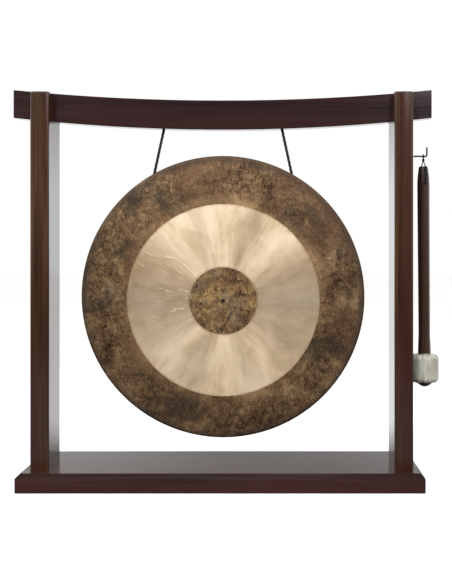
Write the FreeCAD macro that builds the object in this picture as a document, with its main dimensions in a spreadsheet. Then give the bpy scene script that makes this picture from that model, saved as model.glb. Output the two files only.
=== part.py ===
"""A tam tam gong that hangs from a wooden stand by two cords, with its mallet on a hook.

Millimetres. +Z is up, +X is to the right and +Y is to the back. The origin is in the middle of the
underside of the base board. Every sub-part is an object of one parametric document, its sizes are
bound to the sheet "Sizes", and its solid is written to parts/LABEL.step.
"""

import FreeCAD, Part
import math
import os
import Sketcher

UP = FreeCAD.Vector(0, 0, 1)
SIDES = {"left": -1, "right": 1}


# ---------------------------------------------------------------- driving sizes

sizes = {
    # base board
    "base_width": 565.5,
    "base_depth": 156.0,
    "base_thick": 26.3,
    "base_chamfer": 6.5,
    "base_corner": 2.5,
    # posts: the crown is the rise of the slightly round front and back
    "post_gap": 490.0,
    "post_width": 27.0,
    "post_depth": 75.0,
    "post_top": 559.2,
    "post_crown": 1.5,
    "post_arris": 4.5,
    "post_end_round": 1.6,
    # crossbeam: both edges are arcs that rise from the middle to the ends
    "beam_length": 603.5,
    "beam_thick": 21.0,
    "beam_height": 42.2,
    "beam_under": 508.1,
    "beam_under_rise": 17.0,
    "beam_top_rise": 15.0,
    "beam_arris": 1.0,
    # wood screws
    "post_screw_radius": 2.5,
    "post_screw_length": 55.0,
    "post_screw_head_radius": 4.6,
    "post_screw_head_thick": 3.0,
    "post_screw_recess": 8.0,
    "post_screw_recess_radius": 5.5,
    "post_screw_offset": 20.0,
    "beam_screw_radius": 2.0,
    "beam_screw_length": 40.0,
    "beam_screw_head_radius": 4.0,
    "beam_screw_head_thick": 2.4,
    "beam_screw_height": 540.3,
    "slot_width": 1.0,
    "slot_deep": 1.2,
    # gong: a domed face, a bent rim and a slightly tapered flange, all one sheet
    "gong_radius": 206.0,
    "sheet_thick": 2.0,
    "gong_dome": 3.0,
    "rim_bend": 5.0,
    "rim_depth": 28.0,
    "rim_taper": 1.5,
    "rim_hole_radius": 4.0,
    "rim_hole_depth": 14.0,
    "rim_hole_angle": 29.4,
    "rim_hole_height": 442.8,
    # cords
    "cord_radius": 2.1,
    "cord_spread": 85.9,
    "cord_hole_radius": 2.8,
    "knot_recess_radius": 6.0,
    "knot_recess_floor": 33.0,
    "knot_radius": 4.4,
    "knot_half_height": 3.6,
    "tail_length": 14.0,
    "joint_gap": 0.3,
    # hook
    "wire_radius": 1.2,
    "hook_height": 470.5,
    "hook_reach": 24.5,
    "hook_bend": 2.5,
    "hook_rise": 13.4,
    "hook_buried": 14.0,
    "hook_tip_round": 0.9,
    # mallet, measured from the centre of the cross hole in its handle
    "mallet_out": 291.4,
    "mallet_height": 429.4,
    "mallet_turn": 12.0,
    "mallet_lean": 0.35,
    "grip_radius": 8.95,
    "stem_radius": 8.4,
    "flare_radius": 9.5,
    "flare_length": 30.0,
    "flare_step": 0.8,
    "taper_start": 4.0,
    "end_radius": 6.6,
    "end_height": 26.4,
    "end_round": 2.0,
    "cross_hole_radius": 1.6,
    "knob_radius": 12.2,
    "knob_height": 7.5,
    "knob_dome": 17.0,
    "head_radius": 20.25,
    "head_height": 39.4,
    "head_round": 6.0,
    "head_drop": 286.4,
    "cloth_thick": 2.0,
    "thread_radius": 0.7,
    # mallet loop: one thin cord, measured from the same cross hole
    "loop_radius": 1.0,
    "loop_knot_radius": 2.1,
    "loop_knot_half_height": 3.7,
}


def arc_radius(half_chord, rise):
    """The radius of the arc that rises by rise in the middle of a chord."""
    return (half_chord**2 + rise**2) / (2 * rise)


def add_derived_sizes():
    """Works out every other size from the driving ones."""
    s = sizes
    s["base_half_width"] = s["base_width"] / 2
    s["base_half_depth"] = s["base_depth"] / 2
    s["post_height"] = s["post_top"] - s["base_thick"]
    s["post_half_width"] = s["post_width"] / 2
    s["post_flat"] = s["post_depth"] / 2 - s["post_crown"]
    s["post_crown_radius"] = arc_radius(s["post_half_width"], s["post_crown"])
    s["post_out"] = (s["post_gap"] + s["post_width"]) / 2
    s["post_face"] = s["post_gap"] / 2 + s["post_width"]
    s["slot_top"] = s["post_height"] + 1

    half = s["beam_length"] / 2
    s["beam_half_length"] = half
    s["beam_end_top"] = s["beam_height"] + s["beam_top_rise"]
    s["beam_under_radius"] = arc_radius(half, s["beam_under_rise"])
    s["beam_top_radius"] = arc_radius(half, s["beam_top_rise"])
    # The seat in each post is straight and lies just under the beam's curved edge.
    seat = s["beam_under"] - s["base_thick"] - 0.04
    s["seat_inner"] = seat + underside_rise(s["post_gap"] / 2)
    s["seat_outer"] = seat + underside_rise(s["post_face"])

    s["post_pilot_deep"] = s["post_screw_length"] + s["post_screw_recess"] - s["base_thick"]
    s["beam_screw_local"] = s["beam_screw_height"] - s["beam_under"]
    s["post_screw_local"] = s["beam_screw_height"] - s["base_thick"]
    s["beam_screw_seat"] = s["post_depth"] / 2 - s["beam_screw_head_thick"]
    s["beam_screw_tip"] = s["beam_screw_seat"] - s["beam_screw_length"]
    s["beam_screw_recess_radius"] = s["beam_screw_head_radius"] + 0.2

    s["face_radius"] = s["gong_radius"] - s["rim_bend"]
    s["rim_bend_inner"] = s["rim_bend"] - s["sheet_thick"]
    s["dome_radius"] = arc_radius(s["face_radius"], s["gong_dome"])
    s["dome_inner"] = s["gong_dome"] - s["sheet_thick"]
    s["back_radius"] = s["gong_radius"] - s["rim_taper"]
    s["back_inner"] = s["back_radius"] - s["sheet_thick"]
    s["rim_inner"] = s["gong_radius"] - s["sheet_thick"]
    share = (s["rim_hole_depth"] - s["rim_bend"]) / (s["rim_depth"] - s["rim_bend"])
    s["rim_hole_out"] = s["gong_radius"] - s["sheet_thick"] / 2 - share * s["rim_taper"]

    s["cord_top"] = s["beam_under"] + underside_rise(s["cord_spread"])
    s["hook_straight"] = s["hook_reach"] - s["hook_bend"]
    s["hook_hole_end"] = s["post_half_width"] - s["hook_buried"]
    s["hook_local"] = s["hook_height"] - s["base_thick"]

    s["end_shoulder"] = s["end_height"] - s["end_round"]
    s["end_flat"] = s["end_radius"] - s["end_round"]
    s["taper_height"] = s["end_shoulder"] + s["taper_start"]
    narrowing = s["grip_radius"] - s["end_radius"]
    s["taper_curve"] = (s["taper_height"] ** 2 + narrowing**2) / (2 * narrowing)
    s["knob_tip"] = s["head_drop"] + s["knob_height"]
    s["head_top"] = s["head_drop"] - s["head_height"]
    s["flare_top"] = s["head_top"] - s["flare_length"]
    s["flare_foot"] = s["head_top"] - 2 * s["thread_radius"] - 0.2
    s["flare_edge"] = s["flare_foot"] - s["flare_step"]
    s["head_shoulder"] = s["head_radius"] - s["head_round"]
    s["head_low_round"] = s["head_drop"] - s["head_round"]
    s["head_high_round"] = s["head_top"] + s["head_round"]
    s["core_radius"] = s["head_radius"] - s["cloth_thick"]
    s["core_round"] = s["head_round"] - s["cloth_thick"]
    s["core_bottom"] = s["head_drop"] - s["cloth_thick"]
    s["core_top"] = s["head_top"] + s["cloth_thick"]


def underside_rise(out):
    """How far the beam's lower edge has risen at a distance out from its middle."""
    radius = arc_radius(sizes["beam_length"] / 2, sizes["beam_under_rise"])
    return radius - math.sqrt(radius**2 - out**2)


def fill_sheet(doc):
    """Writes every size into the spreadsheet, one row each, with its name as the alias."""
    sheet = doc.addObject("Spreadsheet::Sheet", "Sizes")
    for row, (name, number) in enumerate(sizes.items(), start=1):
        sheet.set(f"A{row}", name)
        sheet.set(f"B{row}", repr(round(number, 6)))
        sheet.setAlias(f"B{row}", name)
    doc.recompute()


# ---------------------------------------------------------------- drawing helpers
# A size name with a leading minus means the negative of that size, and "0" means zero.


def size(name):
    """The number behind a size name."""
    if name == "0":
        return 0.0
    return -sizes[name[1:]] if name.startswith("-") else sizes[name]


def bind(item, where, name):
    """Binds one property of an object to a size of the sheet."""
    item.setExpression(where, f"-Sizes.{name[1:]}" if name.startswith("-") else f"Sizes.{name}")


def sketch_on(body, name, role, offset=None):
    """An empty sketch on one of the body's own planes, or offset along the plane's normal."""
    sketch = body.newObject("Sketcher::SketchObject", name)
    plane = next(item for item in body.Origin.OriginFeatures if item.Role == role)
    sketch.AttachmentSupport = [(plane, "")]
    sketch.MapMode = "FlatFace"
    if offset:
        bind(sketch, "AttachmentOffset.Base.z", offset)
    return sketch


def pin(sketch, element, point, place):
    """Holds a point of a sketch element at a place, which is a pair of size names."""
    for kind, axis, name in (("DistanceX", -2, place[0]), ("DistanceY", -1, place[1])):
        if name == "0":
            sketch.addConstraint(Sketcher.Constraint("PointOnObject", element, point, axis))
            continue
        ends = [(-1, 1), (element, point)]
        if name.startswith("-"):
            ends.reverse()
        rule = Sketcher.Constraint(kind, *ends[0], *ends[1], abs(size(name)))
        index = sketch.addConstraint(rule)
        bind(sketch, f"Constraints[{index}]", name.lstrip("-"))


def give_radius(sketch, element, name):
    """Binds the radius of an arc or a circle to a size."""
    index = sketch.addConstraint(Sketcher.Constraint("Radius", element, size(name)))
    bind(sketch, f"Constraints[{index}]", name)


def circle(sketch, place, radius):
    """A circle whose centre is held at a place."""
    centre = FreeCAD.Vector(size(place[0]), size(place[1]), 0)
    element = sketch.addGeometry(Part.Circle(centre, UP, size(radius)))
    give_radius(sketch, element, radius)
    pin(sketch, element, 3, place)


def arc_between(start, end, radius, bulge_right):
    """The short arc from start to end, bulging to the right or to the left of that way."""
    chord = end - start
    right = FreeCAD.Vector(chord.y, -chord.x, 0).normalize()
    back = math.sqrt(radius**2 - chord.Length**2 / 4)
    centre = start + chord * 0.5 - right * back * (1 if bulge_right else -1)
    first, last = (start, end) if bulge_right else (end, start)
    angles = [math.atan2(point.y - centre.y, point.x - centre.x) for point in (first, last)]
    return Part.ArcOfCircle(Part.Circle(centre, UP, radius), *angles)


def outline(sketch, corners, arcs=None, closed=True):
    """Lines through the corners, counter-clockwise. arcs gives the radius name of each side that
    is an arc, by the number of its first corner; a leading minus makes that side hollow."""
    arcs = arcs or {}
    spots = [FreeCAD.Vector(size(x), size(y), 0) for x, y in corners]
    sides = []
    for number in range(len(corners) if closed else len(corners) - 1):
        start, end = spots[number], spots[(number + 1) % len(spots)]
        radius = arcs.get(number)
        if radius is None:
            sides.append((sketch.addGeometry(Part.LineSegment(start, end)), 1, 2))
            continue
        full = not radius.startswith("-")
        element = sketch.addGeometry(arc_between(start, end, sizes[radius.lstrip("-")], full))
        give_radius(sketch, element, radius.lstrip("-"))
        sides.append((element, 1, 2) if full else (element, 2, 1))
    for number, (element, first, last) in enumerate(sides):
        pin(sketch, element, first, corners[number])
        if closed or number + 1 < len(sides):
            following = sides[(number + 1) % len(sides)]
            joined = Sketcher.Constraint("Coincident", element, last, following[0], following[1])
            sketch.addConstraint(joined)
        else:
            pin(sketch, element, last, corners[-1])


def pad(body, name, sketch, length, symmetric=False):
    """Extrudes a sketch."""
    feature = body.newObject("PartDesign::Pad", name)
    feature.Profile = sketch
    bind(feature, "Length", length)
    feature.SideType = "Symmetric" if symmetric else "One side"
    body.Document.recompute()
    return feature


def pocket(body, name, sketch, length=None, reverse=False, symmetric=False):
    """Cuts a sketch into the body, to a length or right through, and checks that it cuts."""
    before = body.Shape.Volume
    feature = body.newObject("PartDesign::Pocket", name)
    feature.Profile = sketch
    feature.Reversed = reverse
    feature.SideType = "Symmetric" if symmetric else "One side"
    if length:
        bind(feature, "Length", length)
    else:
        feature.Type = "ThroughAll"
    body.Document.recompute()
    check_cut(body, name, before)
    return feature


def check_cut(body, name, before):
    """Stops the script if a cutting feature has taken nothing away."""
    if body.Shape.Volume > before - 0.5:
        raise RuntimeError(f"{body.Label}: {name} cuts nothing")


def revolve(body, name, sketch):
    """Turns a sketch about its own vertical axis."""
    feature = body.newObject("PartDesign::Revolution", name)
    feature.Profile = sketch
    feature.ReferenceAxis = (sketch, ["V_Axis"])
    body.Document.recompute()
    return feature


def dress(body, kind, name, base, radius, wanted):
    """A Fillet or Chamfer on every edge of base that wanted says yes to."""
    edges = [f"Edge{n}" for n, edge in enumerate(base.Shape.Edges, start=1) if wanted(edge)]
    feature = body.newObject(f"PartDesign::{kind}", name)
    feature.Base = (base, edges)
    bind(feature, "Size" if kind == "Chamfer" else "Radius", radius)
    body.Document.recompute()
    return feature


def upright(edge):
    """True for a straight vertical edge."""
    box = edge.BoundBox
    return box.XLength < 0.01 and box.YLength < 0.01


def rising(edge):
    """True for an edge that isn't level."""
    return edge.BoundBox.ZLength > 1


def level_at(height):
    """A test for edges that lie flat at a height."""
    return lambda edge: edge.BoundBox.ZLength < 0.01 and abs(edge.BoundBox.ZMin - height) < 0.01


def new_body(doc, label):
    """An empty PartDesign body with a label."""
    body = doc.addObject("PartDesign::Body", label)
    body.Label = label
    return body


def primitive(doc, kind, name, bound, place=None):
    """A Part primitive whose properties are bound to sizes."""
    item = doc.addObject(f"Part::{kind}", name)
    for where, size_name in bound.items():
        bind(item, where, size_name)
    item.Placement = place or FreeCAD.Placement()
    return item


def fuse(doc, label, pieces):
    """One solid from several pieces."""
    item = doc.addObject("Part::MultiFuse", label)
    item.Label = label
    item.Shapes = pieces
    return item


def at(x, y, z, axis=UP, degrees=0.0):
    """A placement: a position, after a turn about an axis."""
    return FreeCAD.Placement(FreeCAD.Vector(x, y, z), FreeCAD.Rotation(axis, degrees))


# ---------------------------------------------------------------- the stand


def make_base(doc):
    """The base board, with four counterbored screw holes from below."""
    body = new_body(doc, "base_board")
    plan = sketch_on(body, "base_plan", "XY_Plane")
    wide, deep = "base_half_width", "base_half_depth"
    outline(plan, [(f"-{wide}", f"-{deep}"), (wide, f"-{deep}"), (wide, deep), (f"-{wide}", deep)])
    board = pad(body, "base_pad", plan, "base_thick")
    top = level_at(sizes["base_thick"])
    bevel = dress(body, "Chamfer", "base_bevel", board, "base_chamfer", top)
    dress(body, "Fillet", "base_corners", bevel, "base_corner", rising)

    spots = sketch_on(body, "base_screw_spots", "XY_Plane")
    for side in ("-post_out", "post_out"):
        for offset in ("-post_screw_offset", "post_screw_offset"):
            circle(spots, (side, offset), "post_screw_radius")
    before = body.Shape.Volume
    holes = body.newObject("PartDesign::Hole", "base_screw_holes")
    holes.Profile = spots
    holes.Reversed = True
    holes.DepthType = "ThroughAll"
    holes.HoleCutType = "Counterbore"
    holes.HoleCutCustomValues = True
    holes.setExpression("Diameter", "2 * Sizes.post_screw_radius")
    holes.setExpression("HoleCutDiameter", "2 * Sizes.post_screw_recess_radius")
    bind(holes, "HoleCutDepth", "post_screw_recess")
    doc.recompute()
    check_cut(body, "base_screw_holes", before)
    return body


def make_post(doc, side):
    """A post with a slot for the beam in its top. Its foot is at the body's own z = 0."""
    way = SIDES[side]
    body = new_body(doc, f"{side}_post")
    plan = sketch_on(body, f"{side}_post_plan", "XY_Plane")
    wide, flat = "post_half_width", "post_flat"
    corners = [(f"-{wide}", f"-{flat}"), (wide, f"-{flat}"), (wide, flat), (f"-{wide}", flat)]
    outline(plan, corners, arcs={0: "post_crown_radius", 2: "post_crown_radius"})
    shaft = pad(body, f"{side}_post_pad", plan, "post_height")
    rounded = dress(body, "Fillet", f"{side}_post_arrises", shaft, "post_arris", upright)
    top = level_at(sizes["post_height"])
    dress(body, "Fillet", f"{side}_post_end", rounded, "post_end_round", top)

    # The slot's floor slopes outward with the beam's lower edge.
    slot = sketch_on(body, f"{side}_slot_outline", "XZ_Plane")
    left, right = ("seat_inner", "seat_outer") if way > 0 else ("seat_outer", "seat_inner")
    outline(slot, [(f"-{wide}", left), (wide, right), (wide, "slot_top"), (f"-{wide}", "slot_top")])
    pocket(body, f"{side}_slot", slot, "beam_thick", symmetric=True)

    pilots = sketch_on(body, f"{side}_pilot_spots", "XY_Plane")
    for offset in ("-post_screw_offset", "post_screw_offset"):
        circle(pilots, ("0", offset), "post_screw_radius")
    pocket(body, f"{side}_pilots", pilots, "post_pilot_deep", reverse=True)

    shank = sketch_on(body, f"{side}_shank_spot", "XZ_Plane")
    circle(shank, ("0", "post_screw_local"), "beam_screw_radius")
    pocket(body, f"{side}_shank_hole", shank)
    recess = sketch_on(body, f"{side}_recess_spot", "XZ_Plane", "-beam_screw_seat")
    circle(recess, ("0", "post_screw_local"), "beam_screw_recess_radius")
    pocket(body, f"{side}_recess", recess)

    if side == "right":
        mouth = sketch_on(body, "hook_hole_spot", "YZ_Plane", "hook_hole_end")
        circle(mouth, ("0", "hook_local"), "wire_radius")
        pocket(body, "hook_hole", mouth, reverse=True)
    bind(body, "Placement.Base.x", "post_out" if way > 0 else "-post_out")
    bind(body, "Placement.Base.z", "base_thick")
    return body


def make_beam(doc):
    """The curved crossbeam, with its cord holes and the pilot holes for its screws."""
    body = new_body(doc, "crossbeam")
    face = sketch_on(body, "beam_face", "XZ_Plane")
    long = "beam_half_length"
    corners = [
        (f"-{long}", "beam_under_rise"),
        (long, "beam_under_rise"),
        (long, "beam_end_top"),
        (f"-{long}", "beam_end_top"),
    ]
    outline(face, corners, arcs={0: "beam_under_radius", 2: "-beam_top_radius"})
    board = pad(body, "beam_pad", face, "beam_thick", symmetric=True)
    dress(body, "Chamfer", "beam_arris", board, "beam_arris", lambda edge: edge.Length > 500)

    cords = sketch_on(body, "cord_hole_spots", "XY_Plane")
    knots = sketch_on(body, "knot_recess_spots", "XY_Plane", "knot_recess_floor")
    for spread in ("-cord_spread", "cord_spread"):
        circle(cords, (spread, "0"), "cord_hole_radius")
        circle(knots, (spread, "0"), "knot_recess_radius")
    pocket(body, "cord_holes", cords, reverse=True)
    pocket(body, "knot_recesses", knots, reverse=True)

    pilots = sketch_on(body, "beam_pilot_spots", "XZ_Plane", "-beam_screw_tip")
    for out in ("-post_out", "post_out"):
        circle(pilots, (out, "beam_screw_local"), "beam_screw_radius")
    pocket(body, "beam_pilots", pilots)
    bind(body, "Placement.Base.z", "beam_under")
    return body


def screw_pieces(doc, name, kind, place):
    """A slotted pan-head wood screw: its head lies from z = 0 down and its shank stands on z = 0."""
    shank = primitive(
        doc, "Cylinder", f"{name}_shank", {"Radius": f"{kind}_radius", "Height": f"{kind}_length"}
    )
    head_sizes = {"Radius": f"{kind}_head_radius", "Height": f"{kind}_head_thick"}
    head = primitive(doc, "Cylinder", f"{name}_head", head_sizes)
    head.setExpression("Placement.Base.z", f"-Sizes.{kind}_head_thick")
    blank = fuse(doc, f"{name}_blank", [shank, head])
    slot = doc.addObject("Part::Box", f"{name}_slot")
    slot.setExpression("Length", f"3 * Sizes.{kind}_head_radius")
    bind(slot, "Width", "slot_width")
    bind(slot, "Height", "slot_deep")
    slot.setExpression("Placement.Base.x", f"-1.5 * Sizes.{kind}_head_radius")
    slot.setExpression("Placement.Base.y", "-Sizes.slot_width / 2")
    slot.setExpression("Placement.Base.z", f"-Sizes.{kind}_head_thick")
    screw = doc.addObject("Part::Cut", name)
    screw.Base = blank
    screw.Tool = slot
    screw.Placement = place
    return screw


def make_screws(doc, label, kind, places):
    """A group of like screws, one solid each."""
    group = doc.addObject("Part::Compound", label)
    group.Label = label
    numbered = enumerate(places, start=1)
    group.Links = [screw_pieces(doc, f"{kind}_{n}", kind, place) for n, place in numbered]
    return group


def make_post_screws(doc):
    """Two screws up through the board into each post."""
    seat = sizes["post_screw_recess"]
    offset = sizes["post_screw_offset"]
    spots = [(way * sizes["post_out"], y) for way in (-1, 1) for y in (-offset, offset)]
    return make_screws(doc, "post_screws", "post_screw", [at(x, y, seat) for x, y in spots])


def make_beam_screws(doc):
    """One screw forward through the back cheek of each post into the beam."""
    forward = FreeCAD.Vector(1, 0, 0)
    seat, height = sizes["beam_screw_seat"], sizes["beam_screw_height"]
    places = [at(way * sizes["post_out"], seat, height, forward, 90) for way in (-1, 1)]
    return make_screws(doc, "beam_screws", "beam_screw", places)


def make_hook(doc):
    """The wire hook: buried in the post, level, and bent up at its end."""
    body = new_body(doc, "mallet_hook")
    route = sketch_on(body, "hook_route", "XZ_Plane")
    corners = [
        ("-hook_buried", "0"),
        ("hook_straight", "0"),
        ("hook_reach", "hook_bend"),
        ("hook_reach", "hook_rise"),
    ]
    outline(route, corners, arcs={1: "hook_bend"}, closed=False)
    section = sketch_on(body, "hook_section", "YZ_Plane", "-hook_buried")
    circle(section, ("0", "0"), "wire_radius")
    wire = body.newObject("PartDesign::AdditivePipe", "hook_wire")
    wire.Profile = section
    wire.Spine = (route, [])
    doc.recompute()
    tip = level_at(sizes["hook_rise"])
    dress(body, "Fillet", "hook_tip", wire, "hook_tip_round", tip)
    bind(body, "Placement.Base.x", "post_face")
    bind(body, "Placement.Base.z", "hook_height")
    return body


# ---------------------------------------------------------------- gong and cords


def make_gong(doc):
    """The gong: one bronze sheet, hung so that its weight is right under its rim holes."""
    body = new_body(doc, "gong_plate")
    half = sketch_on(body, "gong_profile", "XY_Plane")
    corners = [
        ("0", "-gong_dome"),
        ("face_radius", "0"),
        ("gong_radius", "rim_bend"),
        ("back_radius", "rim_depth"),
        ("back_inner", "rim_depth"),
        ("rim_inner", "rim_bend"),
        ("face_radius", "sheet_thick"),
        ("0", "-dome_inner"),
    ]
    arcs = {0: "dome_radius", 1: "rim_bend", 5: "-rim_bend_inner", 6: "-dome_radius"}
    outline(half, corners, arcs)
    revolve(body, "gong_sheet", half)

    # The holes go through the flange along the gong's own radius.
    before = body.Shape.Volume
    hole = body.newObject("PartDesign::SubtractiveCylinder", "right_rim_hole")
    bind(hole, "Radius", "rim_hole_radius")
    hole.setExpression("Height", "6 * Sizes.sheet_thick")
    inner = sizes["rim_hole_out"] - 3 * sizes["sheet_thick"]
    hole.Placement = rim_place(1, inner)
    doc.recompute()
    mirror = body.newObject("PartDesign::Mirrored", "left_rim_hole")
    mirror.Originals = [hole]
    plane = next(item for item in body.Origin.OriginFeatures if item.Role == "YZ_Plane")
    mirror.MirrorPlane = (plane, [""])
    body.Tip = mirror
    doc.recompute()
    check_cut(body, "rim holes", before)

    hang = rim_place(1, sizes["rim_hole_out"]).Base
    weight = body.Shape.CenterOfGravity
    lean = math.degrees(math.atan2(hang.y - weight.y, hang.z - weight.z))
    turn = FreeCAD.Rotation(FreeCAD.Vector(1, 0, 0), lean)
    hung = turn.multVec(FreeCAD.Vector(0, hang.y, hang.z))
    corner = FreeCAD.Vector(0, 0, sizes["rim_hole_height"]) - hung
    body.Placement = FreeCAD.Placement(corner, turn)
    print(f"gong leans {lean:.3f} degrees, its holes are at x = {hang.x:.3f}, centre {corner}")
    return body


def rim_place(way, out):
    """In the gong's own frame, a place at a distance out along the line of a rim hole, turned so
    that its Z axis points outward."""
    angle = math.radians(sizes["rim_hole_angle"])
    across, up = way * out * math.sin(angle), out * math.cos(angle)
    turn = way * sizes["rim_hole_angle"]
    return at(across, sizes["rim_hole_depth"], up, FreeCAD.Vector(0, 1, 0), turn)


def make_anchor(doc, side):
    """The upper end of a cord: a stopper knot in the beam's recess and the cord in the hole."""
    x = SIDES[side] * sizes["cord_spread"]
    bottom = sizes["cord_top"] + sizes["cord_radius"] + sizes["joint_gap"]
    knot_z = sizes["beam_under"] + sizes["knot_recess_floor"] + sizes["knot_half_height"]
    stem = doc.addObject("Part::Cylinder", f"{side}_anchor_stem")
    bind(stem, "Radius", "cord_radius")
    stem.Height = knot_z - bottom
    stem.Placement = at(x, 0, bottom)
    knot = make_knot(doc, f"{side}_anchor_knot", at(x, 0, knot_z))
    return fuse(doc, f"{side}_cord_anchor", [stem, knot])


def make_knot(doc, name, place):
    """A round stopper knot."""
    radii = {"Radius1": "knot_half_height", "Radius2": "knot_radius", "Radius3": "knot_radius"}
    return primitive(doc, "Ellipsoid", name, radii, place)


def make_cord(doc, side, hang):
    """The free length of a cord, with a round end at each of its two pivots."""
    way = SIDES[side]
    top = FreeCAD.Vector(way * sizes["cord_spread"], 0, sizes["cord_top"])
    low = FreeCAD.Vector(way * hang.x, 0, sizes["rim_hole_height"])
    span = (low - top).Length
    run = doc.addObject("Part::Cylinder", f"{side}_cord_run")
    bind(run, "Radius", "cord_radius")
    run.Height = span
    run.Placement = at(0, 0, -span)
    radius = {"Radius": "cord_radius"}
    upper = primitive(doc, "Sphere", f"{side}_cord_upper_end", radius)
    lower = primitive(doc, "Sphere", f"{side}_cord_lower_end", radius, at(0, 0, -span))
    cord = fuse(doc, f"{side}_cord", [run, upper, lower])
    slant = math.degrees(math.atan2(low.x - top.x, top.z - low.z))
    cord.Placement = at(top.x, 0, top.z, FreeCAD.Vector(0, 1, 0), -slant)
    print(f"{side} cord: {span:.2f} mm between its pivots, {abs(slant):.2f} degrees off upright")
    return cord


def make_tail(doc, side, plate):
    """The lower end of a cord: a knot inside the flange, and its loose end."""
    gap = sizes["cord_radius"] + sizes["joint_gap"] + sizes["knot_half_height"]
    knot = make_knot(doc, f"{side}_tail_knot", FreeCAD.Placement())
    end = doc.addObject("Part::Cylinder", f"{side}_tail_end")
    bind(end, "Radius", "cord_radius")
    bind(end, "Height", "tail_length")
    bind(end, "Placement.Base.z", "-tail_length")
    tail = fuse(doc, f"{side}_cord_tail", [knot, end])
    tail.Placement = plate.Placement.multiply(rim_place(SIDES[side], sizes["rim_hole_out"] - gap))
    return tail


# ---------------------------------------------------------------- the mallet


def mallet_place():
    """The mallet's own frame: its origin is the centre of the cross hole, which runs along Y."""
    lean = FreeCAD.Rotation(FreeCAD.Vector(0, 1, 0), -sizes["mallet_lean"])
    turn = FreeCAD.Rotation(UP, sizes["mallet_turn"])
    spot = FreeCAD.Vector(sizes["mallet_out"], 0, sizes["mallet_height"])
    return FreeCAD.Placement(spot, lean.multiply(turn))


def make_handle(doc):
    """The turned handle: a domed knob, a shoulder for the head, a stem that flares just above
    the head's binding, and a tapered end."""
    body = new_body(doc, "mallet_handle")
    half = sketch_on(body, "handle_profile", "XZ_Plane")
    corners = [
        ("0", "-knob_tip"),
        ("knob_radius", "-head_drop"),
        ("stem_radius", "-head_drop"),
        ("stem_radius", "-flare_foot"),
        ("flare_radius", "-flare_edge"),
        ("stem_radius", "-flare_top"),
        ("grip_radius", "-taper_start"),
        ("end_radius", "end_shoulder"),
        ("end_flat", "end_height"),
        ("0", "end_height"),
    ]
    outline(half, corners, arcs={0: "knob_dome", 6: "taper_curve", 7: "end_round"})
    revolve(body, "handle_turned", half)
    hole = sketch_on(body, "cross_hole_spot", "XZ_Plane")
    circle(hole, ("0", "0"), "cross_hole_radius")
    pocket(body, "cross_hole", hole, "knob_tip", symmetric=True)
    body.Placement = mallet_place()
    return body


def make_core(doc):
    """The rolled felt core of the head, round the stem."""
    body = new_body(doc, "mallet_core")
    half = sketch_on(body, "core_profile", "XZ_Plane")
    corners = [
        ("stem_radius", "-core_bottom"),
        ("head_shoulder", "-core_bottom"),
        ("core_radius", "-head_low_round"),
        ("core_radius", "-head_high_round"),
        ("head_shoulder", "-core_top"),
        ("stem_radius", "-core_top"),
    ]
    outline(half, corners, arcs={1: "core_round", 3: "core_round"})
    revolve(body, "core_roll", half)
    body.Placement = mallet_place()
    return body


def make_cover(doc):
    """The cloth over the core: one closed shell as thick as the gathered cloth."""
    body = new_body(doc, "mallet_cover")
    half = sketch_on(body, "cover_profile", "XZ_Plane")
    corners = [
        ("stem_radius", "-head_drop"),
        ("head_shoulder", "-head_drop"),
        ("head_radius", "-head_low_round"),
        ("head_radius", "-head_high_round"),
        ("head_shoulder", "-head_top"),
        ("stem_radius", "-head_top"),
        ("stem_radius", "-core_top"),
        ("head_shoulder", "-core_top"),
        ("core_radius", "-head_high_round"),
        ("core_radius", "-head_low_round"),
        ("head_shoulder", "-core_bottom"),
        ("stem_radius", "-core_bottom"),
    ]
    arcs = {1: "head_round", 3: "head_round", 7: "-core_round", 9: "-core_round"}
    outline(half, corners, arcs)
    revolve(body, "cover_cloth", half)
    body.Placement = mallet_place()
    return body


def make_thread(doc):
    """The thread that ties the cloth to the stem."""
    item = doc.addObject("Part::Torus", "mallet_thread")
    item.Label = "mallet_thread"
    item.setExpression("Radius1", "Sizes.stem_radius + 1.2 * Sizes.thread_radius")
    bind(item, "Radius2", "thread_radius")
    above = at(0, 0, sizes["thread_radius"] - sizes["head_top"])
    item.Placement = mallet_place().multiply(above)
    return item


def rounded_tube(points, radii, tube_radius, name):
    """A tube along straight runs joined by tangent arcs of the given radii."""
    edges = []
    start = points[0]
    for before, corner, after, radius in zip(points, points[1:], points[2:], radii):
        back = (before - corner).normalize()
        ahead = (after - corner).normalize()
        reach = radius / math.tan(back.getAngle(ahead) / 2)
        middle = corner + (back + ahead).normalize() * (math.hypot(reach, radius) - radius)
        enter, leave = corner + back * reach, corner + ahead * reach
        edges.append(Part.LineSegment(start, enter).toShape())
        edges.append(Part.Arc(enter, middle, leave).toShape())
        start = leave
    edges.append(Part.LineSegment(start, points[-1]).toShape())
    path = Part.Wire(edges)
    ring = Part.Circle(points[0], points[1] - points[0], tube_radius).toShape()
    tube = path.makePipeShell([Part.Wire([ring])], True, True)
    ideal = math.pi * tube_radius**2 * path.Length
    off = tube.Volume / ideal - 1
    print(f"{name}: length {path.Length:.2f} mm, bend radii {radii}, volume off by {off:.4%}")
    return tube


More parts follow.
